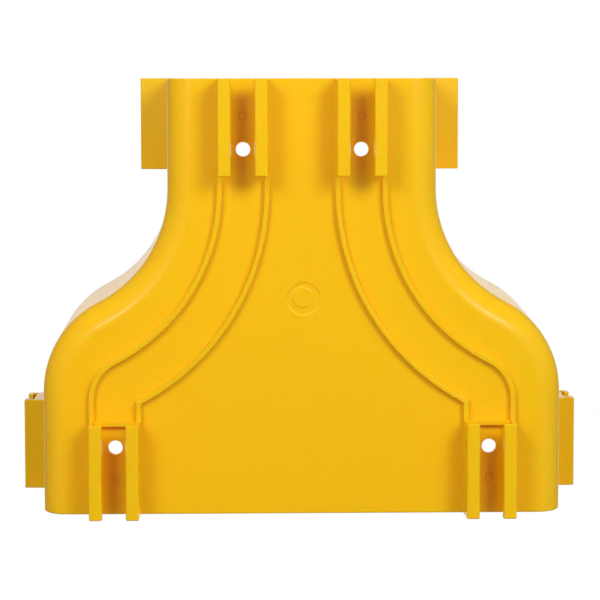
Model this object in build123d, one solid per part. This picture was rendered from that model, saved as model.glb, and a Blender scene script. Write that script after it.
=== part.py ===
from build123d import *
import os
from math import acos, cos, radians, sin, tan

os.makedirs("parts", exist_ok=True)

# Reducer fitting of a fibre raceway: an open trough, moulded in one piece, that joins a wide duct
# to a narrow one. X runs across, Y along the duct with the narrow end at -Y, and the open side is up.
# The origin is under the middle of the fitting, on the surface that its lower rails stand on.

# Trough
trough_length = 264.0
wall = 3.2
narrow_inside = 156.4
wide_inside = 308.8
inside_height = 106.8
outer_corner = 15.0  # radius under the floor's long edges
wall_draft = 1.3  # degrees that each side wall leans out
edge_round = 0.8  # rounding of the rim and of both ends

# Flare of the side walls, measured on their outer faces
neck_length = 66.3  # straight wall at the narrow end
wide_length = 73.3  # straight wall at the wide end
shoulder_bend = 61.0  # radius of the round bend into the wide end

# Rails: a pair of hooked legs with a slot between them
narrow_rail_length = 58.0
wide_rail_length = 57.3
rail_width = 31.5  # at the wall that they stand on
rail_height = 18.0
rail_leg = 3.0
rail_taper = 0.9  # how far each leg's outer face leans in over its height
rail_lip = 3.2  # thickness of the hooked lips
slot_mouth = 14.8
slot_throat = 13.8  # width between the lips at their roots
rail_round = 0.8  # along the tips of the hooks
rail_end_chamfer = 0.4
stop_height = 12.2  # wall that shuts the side slots of the wide end, up to a gap under the lips
stop_thickness = 3.0
rim_clearance = 1.0  # from a side rail up to the rim
narrow_rail_spacing = 71.0
wide_rail_spacing = 226.5

# Ridges that carry the lines of the narrow rails on to the wide ones, where a low one crosses the slot
ridge_height = 3.5
ridge_width = 3.0
ridge_lead = 9.0  # straight run from the narrow rails
ridge_tail = 13.1  # straight run into the wide rails
ridge_shoulder = 27.0  # radius of the bend next to the wide rails
ridge_round = 0.5

# Fixing holes and moulding marks in the slots and on the floor
hole_diameter = 8.7
narrow_hole_inset = 42.5
wide_hole_inset = 41.0
pin_mark_diameter = 5.2
pin_mark_width = 0.6
pin_mark_depth = 0.35
narrow_pin_inset = 22.8
wide_pin_inset = 21.4
gate_mark_diameter = 13.4  # flat disc in the middle of a shallow dish
gate_dish_diameter = 20.6
gate_dish_depth = 0.4
gate_dish_slope = 0.8  # breadth of the sloping sides of the disc and the dish
gate_dish_shift = 0.9  # the dish isn't quite centred on the disc

# Worked out from the sizes above
narrow_end = -trough_length / 2
wide_end = trough_length / 2
floor_level = rail_height
rim_level = floor_level + wall + inside_height
narrow_half = narrow_inside / 2 + wall
wide_half = wide_inside / 2 + wall
lean = tan(radians(wall_draft))
half_turn = radians(180)
neck_end = narrow_end + neck_length
wide_start = wide_end - wide_length
wide_rail_start = wide_end - wide_rail_length
root = wall / 2  # how far rails and ridges reach into the wall they stand on
run_out = 2 * outer_corner  # extra length that both ends are cut back from
drill_length = 4 * wall
touch = 0.01  # nearer than this, an edge lies on a face
hole_places = [
    (narrow_rail_spacing / 2, narrow_end + narrow_hole_inset),
    (wide_rail_spacing / 2, wide_end - wide_hole_inset),
]
pin_places = [
    (narrow_rail_spacing / 2, narrow_end + narrow_pin_inset),
    (wide_rail_spacing / 2, wide_end - wide_pin_inset),
]


def double_bend(step, run, second):
    """First radius and angle of an S bend that moves a line sideways by a step over a run."""
    both = (step**2 + run**2) / (2 * step)
    return both - second, acos(1 - step / both)


def arc_points(centre, radius, start, end):
    """Start, middle and end of an arc, with its angles from +X in radians."""
    angles = (start, (start + end) / 2, end)
    return [(centre[0] + radius * cos(a), centre[1] + radius * sin(a)) for a in angles]


def trough_plan(inset):
    """The trough seen from above, a given distance inside the outer faces of its walls."""
    neck_bend, turn = double_bend(wide_half - narrow_half, wide_start - neck_end, shoulder_bend)
    hollow_middle = (narrow_half + neck_bend, neck_end)
    hollow = arc_points(hollow_middle, neck_bend + inset, half_turn, half_turn - turn)
    shoulder = arc_points((wide_half - shoulder_bend, wide_start), shoulder_bend - inset, -turn, 0)
    first = (narrow_half - inset, narrow_end - run_out)
    last = (wide_half - inset, wide_end + run_out)
    side = (
        Line(first, hollow[0])
        + ThreePointArc(*hollow)
        + ThreePointArc(*shoulder)
        + Line(shoulder[2], last)
    )
    ends = [Line((-x, y), (x, y)) for x, y in (first, last)]
    return make_face(side + mirror(side, Plane.YZ) + ends)


def trough_block(inset, level, corner):
    """Solid with leaning sides that stands on a level and has round lower edges."""
    plan = Pos(0, 0, level) * trough_plan(inset)
    block = extrude(plan, amount=rim_level + wall - level, taper=-wall_draft)
    floor_edges = block.faces().sort_by(Axis.Z)[0].edges()
    side_edges = floor_edges.filter_by(lambda edge: abs(edge.center().X) > narrow_half / 2)
    return fillet(side_edges, corner)


def slice_between(solid, low, high, bottom, top):
    """The part of a solid between two places along Y and two levels."""
    width = 2 * (wide_half + trough_length)
    middle = Pos(0, (low + high) / 2, (bottom + top) / 2)
    return solid & middle * Box(width, high - low, top - bottom)


def rail_half():
    """Section of one hooked leg: across from the slot's middle, and out from the wall."""
    outline = Polyline(
        (rail_width / 2, -root),
        (rail_width / 2 - rail_taper, rail_height),
        (slot_mouth / 2, rail_height),
        (slot_throat / 2, rail_height - rail_lip),
        (rail_width / 2 - rail_leg, rail_height - rail_lip),
        (rail_width / 2 - rail_leg, -root),
        close=True,
    )
    section = make_face(outline)
    tip = section.vertices().group_by(Axis.Y)[-1]
    return fillet(tip, rail_round)


def rail(length, stop_rise):
    """One rail along +Z, standing on a wall at Y = 0, with its slot shut at the start up to a rise."""
    leg = extrude(rail_half(), amount=length)
    ends = leg.edges().group_by(Axis.Z)
    leg = chamfer(ends[0] + ends[-1], rail_end_chamfer)
    solid = leg + mirror(leg, Plane.YZ)
    if stop_rise > 0:
        stop = Box(
            rail_width - rail_leg,  # to the middle of each leg
            stop_rise + root,
            stop_thickness,
            align=(Align.CENTER, Align.MIN, Align.MIN),
        )
        solid += Pos(0, -root, 0) * stop
    return solid


def floor_rail(x, start, solid):
    return Plane(origin=(x, start, floor_level), x_dir=(1, 0, 0), z_dir=(0, 1, 0)) * solid


def side_rail(half, start, solid):
    height = rim_level - rim_clearance - rail_width / 2
    face = half + lean * (height - floor_level)
    return Plane(origin=(face, start, height), x_dir=(0, 0, 1), z_dir=(0, 1, 0)) * solid


def band_face(inset):
    """Strip under the floor between a narrow rail and a wide one, less an inset on both sides."""
    outer_x = narrow_rail_spacing / 2 + rail_width / 2
    far_x = wide_rail_spacing / 2 + rail_width / 2
    bend_start = narrow_end + narrow_rail_length + ridge_lead
    bend_end = wide_rail_start - ridge_tail
    ridge_bend, turn = double_bend(far_x - outer_x, bend_end - bend_start, ridge_shoulder)
    middle = (outer_x + ridge_bend, bend_start)
    start = narrow_end + narrow_rail_length - rail_leg / 2
    end = wide_rail_start + rail_leg / 2
    outer = arc_points(middle, ridge_bend + inset, half_turn, half_turn - turn)
    shoulder = arc_points((far_x - ridge_shoulder, bend_end), ridge_shoulder - inset, -turn, 0)
    inner_radius = ridge_bend + rail_width - inset
    inner_x = far_x - rail_width + inset
    inner_turn = acos((middle[0] - inner_x) / inner_radius)
    inner = arc_points(middle, inner_radius, half_turn, half_turn - inner_turn)
    outline = (
        Line((outer[0][0], start), outer[0])
        + ThreePointArc(*outer)
        + ThreePointArc(*shoulder)
        + Line(shoulder[2], (shoulder[2][0], end))
        + Line((shoulder[2][0], end), (inner_x, end))
        + Line((inner_x, end), inner[2])
        + ThreePointArc(*inner)
        + Line(inner[0], (inner[0][0], start))
        + Line((inner[0][0], start), (outer[0][0], start))
    )
    return make_face(outline)


def ridges():
    """The pair of low ridges on one side of the floor."""
    band = Pos(0, 0, floor_level - ridge_height) * (band_face(0) - band_face(ridge_width))
    solid = extrude(band, amount=ridge_height + root)
    return fillet(solid.edges().group_by(Axis.Z)[0], ridge_round)


def pin_mark(x, y):
    """Ring groove that an ejector pin leaves in the floor's outer face."""
    outer_radius = pin_mark_diameter / 2
    ring = Circle(outer_radius) - Circle(outer_radius - pin_mark_width)
    return Pos(x, y, floor_level) * extrude(ring, amount=pin_mark_depth)


def gate_mark():
    """Shallow dish under the middle of the floor, with a flat disc left standing in it."""
    from_face = (Align.CENTER, Align.CENTER, Align.MIN)
    dish_radius = gate_dish_diameter / 2
    disc_radius = gate_mark_diameter / 2
    dish = Cone(dish_radius, dish_radius - gate_dish_slope, gate_dish_depth, align=from_face)
    disc = Cone(disc_radius - gate_dish_slope, disc_radius, gate_dish_depth, align=from_face)
    return Pos(0, 0, floor_level) * (Pos(gate_dish_shift, gate_dish_shift, 0) * dish - disc)


def on_end_or_rim(edge):
    middle = edge.center()
    return abs(abs(middle.Y) - wide_end) < touch or abs(middle.Z - rim_level) < touch


def trough():
    """The open trough by itself, with its rim and both ends rounded."""
    outer = trough_block(0, floor_level, outer_corner)
    outer = slice_between(outer, narrow_end, wide_end, floor_level, rim_level)
    shell = outer - trough_block(wall * (1 - lean), floor_level + wall, outer_corner - wall)
    return fillet(shell.edges().filter_by(on_end_or_rim), edge_round)


def fitting():
    outside = ridges()
    open_rail = rail(narrow_rail_length, 0)
    outside += floor_rail(narrow_rail_spacing / 2, narrow_end, open_rail)
    outside += side_rail(narrow_half, narrow_end, open_rail)
    ridged_rail = rail(wide_rail_length, ridge_height)
    outside += floor_rail(wide_rail_spacing / 2, wide_rail_start, ridged_rail)
    stopped_rail = rail(wide_rail_length, stop_height)
    outside += side_rail(wide_half, wide_rail_start, stopped_rail)
    body = trough() + outside + mirror(outside, Plane.YZ) - gate_mark()

    for side in (-1, 1):
        for x, y in hole_places:
            body -= Pos(side * x, y, floor_level) * Cylinder(hole_diameter / 2, drill_length)
        for x, y in pin_places:
            body -= pin_mark(side * x, y)
    return body


body = fitting()
print("solids", len(body.solids()), "volume", round(body.volume / 1000, 1), "cm3")
box = body.bounding_box()
print("size", box.size, "low", box.min, "high", box.max)
export_step(body.solids()[0], "parts/reducer_body.step")
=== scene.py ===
from math import pi, radians

import bmesh
import bpy
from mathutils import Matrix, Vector

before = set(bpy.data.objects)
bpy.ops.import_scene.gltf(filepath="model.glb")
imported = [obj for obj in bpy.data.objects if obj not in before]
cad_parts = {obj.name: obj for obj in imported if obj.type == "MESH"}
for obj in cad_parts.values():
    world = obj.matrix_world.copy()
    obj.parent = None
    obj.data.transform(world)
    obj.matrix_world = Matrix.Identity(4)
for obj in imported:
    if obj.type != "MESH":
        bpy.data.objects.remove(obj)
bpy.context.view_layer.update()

print("frame loaded:", sorted(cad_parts))


# One output of a node. + - * / on links and numbers add Math nodes.
class Link:
    def __init__(self, nodes, socket):
        self.nodes = nodes
        self.socket = socket

    def maths(self, operation, first, second):
        return self.nodes.add("ShaderNodeMath", {"operation": operation}, {0: first, 1: second})

    def __add__(self, other):
        return self.maths("ADD", self, other)

    def __sub__(self, other):
        return self.maths("SUBTRACT", self, other)

    def __rsub__(self, other):
        return self.maths("SUBTRACT", other, self)

    def __mul__(self, other):
        return self.maths("MULTIPLY", self, other)

    def __truediv__(self, other):
        return self.maths("DIVIDE", self, other)

    def __rtruediv__(self, other):
        return self.maths("DIVIDE", other, self)

    __radd__ = __add__
    __rmul__ = __mul__


# The nodes of one material, or of the world
class Nodes:
    def __init__(self, owner):
        owner.use_nodes = True
        self.tree = owner.node_tree
        self.tree.nodes.clear()

    # Settings are set first, then the values or links of the sockets
    def add(self, kind, settings, sockets, output=0):
        node = self.tree.nodes.new(kind)
        for name, value in settings.items():
            setattr(node, name, value)
        for name, value in sockets.items():
            if isinstance(value, Link):
                self.tree.links.new(value.socket, node.inputs[name])
            else:
                node.inputs[name].default_value = value
        return Link(self, node.outputs[output]) if node.outputs else None


# Glossy yellow plastic, moulded in colour. A noise has its waves per metre and its detail.
plastic = {
    "slot": "yellow_plastic",
    "yellow": (0.985, 0.59, 0.004, 1),
    "deepYellow": (0.965, 0.56, 0.004, 1),
    "drift": (9.0, 2.0),  # slow change of tone
    "roughness": 0.22,
    "roughnessChange": 0.08,
    "clouds": (55.0, 3.0),  # where the polish of the mould changes
    "ripple": (170.0, 1.0),  # slight unevenness of the moulded skin
    "rippleHeight": 0.000025,
    "grain": (2400.0, 2.0),
    "grainHeight": 0.000002,
    "refraction": 1.5,
    "glow": 0.45,  # light that passes through the plastic, red the furthest
    "glowReach": (0.005, 0.001, 0.0003),
    "edgeRadius": 0.0003,  # soft edges, as every moulding has
    "edgeSamples": 4,
}


def plasticMaterial():
    material = bpy.data.materials.new("yellowPlastic")
    nodes = Nodes(material)
    place = nodes.add("ShaderNodeTexCoord", {}, {}, "Object")

    def noise(name):
        scale, detail = plastic[name]
        sockets = {"Vector": place, "Scale": scale, "Detail": detail}
        return nodes.add("ShaderNodeTexNoise", {}, sockets)

    # Of the mix node's sockets, 6 and 7 are the two colours in, and 2 the colour out
    colour = nodes.add(
        "ShaderNodeMix",
        {"data_type": "RGBA"},
        {"Factor": noise("drift"), 6: plastic["yellow"], 7: plastic["deepYellow"]},
        2,
    )
    roughness = (noise("clouds") - 0.5) * plastic["roughnessChange"] + plastic["roughness"]
    skin = noise("ripple") * plastic["rippleHeight"] + noise("grain") * plastic["grainHeight"]
    softEdges = nodes.add(
        "ShaderNodeBevel", {"samples": plastic["edgeSamples"]}, {"Radius": plastic["edgeRadius"]}
    )
    normal = nodes.add("ShaderNodeBump", {}, {"Height": skin, "Distance": 1.0, "Normal": softEdges})
    surface = nodes.add(
        "ShaderNodeBsdfPrincipled",
        {},
        {
            "Base Color": colour,
            "Roughness": roughness,
            "IOR": plastic["refraction"],
            "Subsurface Weight": plastic["glow"],
            "Subsurface Radius": plastic["glowReach"],
            "Subsurface Scale": 1.0,
            "Normal": normal,
        },
    )
    nodes.add("ShaderNodeOutputMaterial", {}, {"Surface": surface})
    return material


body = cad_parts["reducer_body"]
body.material_slots[0].material = plasticMaterial()
print("material set:", body.material_slots[0].material.name)


# Pale floor under the rails. It shows only from above, so that the camera and the lamps
# below it see the underside of the fitting.
floor = {"size": 8.0, "gap": 0.0002, "colour": (0.67, 0.67, 0.66, 1)}


def makeFloor():
    shape = bmesh.new()
    bmesh.ops.create_grid(shape, x_segments=1, y_segments=1, size=floor["size"] / 2)
    bmesh.ops.translate(shape, verts=shape.verts, vec=(0, 0, -floor["gap"]))
    mesh = bpy.data.meshes.new("floor")
    shape.to_mesh(mesh)
    shape.free()
    obj = bpy.data.objects.new("floor", mesh)
    bpy.context.scene.collection.objects.link(obj)
    material = bpy.data.materials.new("palePaper")
    nodes = Nodes(material)
    seen = nodes.add("ShaderNodeLightPath", {}, {}, "Is Camera Ray")
    below = nodes.add("ShaderNodeNewGeometry", {}, {}, "Backfacing")
    shown = seen * (1 - below)
    paper = nodes.add("ShaderNodeBsdfDiffuse", {}, {"Color": floor["colour"]})
    clear = nodes.add("ShaderNodeBsdfTransparent", {}, {})
    mixed = nodes.add("ShaderNodeMixShader", {}, {0: shown, 1: clear, 2: paper})
    nodes.add("ShaderNodeOutputMaterial", {}, {"Surface": mixed})
    mesh.materials.append(material)


makeFloor()


# White studio. The camera sees plain white, and so does gloss that looks up past the fitting.
# The soft light on the fitting comes from all sides, and hardly any from straight below.
# Bounds are heights on the sphere round the fitting: -1 is straight below, 1 straight above.
studio = {
    "white": 1.0,
    "below": 0.03,
    "belowBounds": (-0.93, -0.84),
    "ring": 0.262,  # the soft light all round the camera
    "sides": 0.5,  # share of it that comes from the walls
    "sidesBounds": (-0.75, -0.4),
    "above": 0.95,  # share of that again that comes from above
    "aboveBounds": (-0.2, 0.3),
    "leftAndRight": 2.6,  # how much brighter those two sides are
    "towardNeck": 0.8,  # and the side of the narrow end
    "towardRight": 0.1,
    "glossSides": 0.15,  # what gloss sees of the studio's walls
    "glossAbove": 1.0,
    "glossBounds": (0.86, 0.93),
}


def makeWorld():
    world = bpy.data.worlds.new("studio")
    bpy.context.scene.world = world
    nodes = Nodes(world)
    way = nodes.add("ShaderNodeTexCoord", {}, {}, "Generated")
    across, along, height = (
        nodes.add("ShaderNodeSeparateXYZ", {}, {"Vector": way}, axis) for axis in "XYZ"
    )
    seen, through, glossy = (
        nodes.add("ShaderNodeLightPath", {}, {}, f"Is {kind} Ray")
        for kind in ("Camera", "Transmission", "Glossy")
    )

    # Smooth change from one strength to another between two heights
    def change(bounds, low, high):
        start, end = studio[bounds]
        return nodes.add(
            "ShaderNodeMapRange",
            {"interpolation_type": "SMOOTHSTEP"},
            {"Value": height, "From Min": start, "From Max": end, "To Min": low, "To Max": high},
        )

    soft = change("belowBounds", studio["below"], studio["ring"])
    soft = soft * change("sidesBounds", 1, studio["sides"])
    soft = soft * change("aboveBounds", 1, studio["above"])
    sideways = across * across / (1 - height * height)
    soft = soft * (sideways * studio["leftAndRight"] + 1)
    soft = soft * (across * studio["towardRight"] - along * studio["towardNeck"] + 1)
    gloss = change("glossBounds", studio["glossSides"], studio["glossAbove"])
    plain = seen + through
    strength = plain * studio["white"] + glossy * gloss + (1 - plain - glossy) * soft
    light = nodes.add("ShaderNodeBackground", {}, {"Color": (1, 1, 1, 1), "Strength": strength})
    nodes.add("ShaderNodeOutputWorld", {}, {"Surface": light})


# Soft boxes round the fitting, which all face it: place, size and watts. The gleams are panels
# that show only as highlights on its round corners.
lamps = {
    "leftBox": {"place": (-0.6, -0.65, -0.95), "size": (0.5, 0.5), "watts": 6.2},
    "rightBox": {"place": (0.64, -0.65, -0.95), "size": (0.5, 0.5), "watts": 7.9},
    "topBox": {"place": (0.6, 0.9, 1.35), "size": (1.2, 1.2), "watts": 30},
    "leftGleam": {"place": (-0.378, -0.395, -1.23), "size": (0.4, 0.22), "watts": 1.9},
    "rightGleam": {"place": (0.445, -0.46, -1.16), "size": (0.4, 0.42), "watts": 3.1},
}


def makeLamps():
    for name, values in lamps.items():
        light = bpy.data.lights.new(name, "AREA")
        light.shape = "RECTANGLE"
        light.size, light.size_y = values["size"]
        light.energy = values["watts"]
        lamp = bpy.data.objects.new(name, light)
        bpy.context.scene.collection.objects.link(lamp)
        lamp.location = values["place"]
        lamp.rotation_euler = (-Vector(values["place"])).to_track_quat("-Z", "Y").to_euler()
        lamp.visible_camera = False
        lamp.visible_glossy = "Gleam" in name
        lamp.visible_diffuse = not lamp.visible_glossy


makeWorld()
makeLamps()
print("floor, world and lamps made")


# The photograph looks straight up at the underside, from below the narrow end
camera = {
    "sensor": 36,
    "lens": 116.97,
    "place": (-0.0236, -0.13347, -1.15171),
    "turn": (-3.937, 1.095, 0.071),  # degrees away from looking straight up
    "shift": -0.15,
    "nearest": 0.01,
}


def makeCamera():
    lens = bpy.data.cameras.new("camera")
    lens.lens = camera["lens"]
    lens.sensor_width = camera["sensor"]
    lens.shift_y = camera["shift"]
    lens.clip_start = camera["nearest"]
    obj = bpy.data.objects.new("camera", lens)
    bpy.context.scene.collection.objects.link(obj)
    obj.location = camera["place"]
    tilt, roll, swing = (radians(angle) for angle in camera["turn"])
    obj.rotation_euler = (pi + tilt, roll, swing)
    bpy.context.scene.camera = obj


makeCamera()
bpy.context.scene.view_settings.view_transform = "Standard"
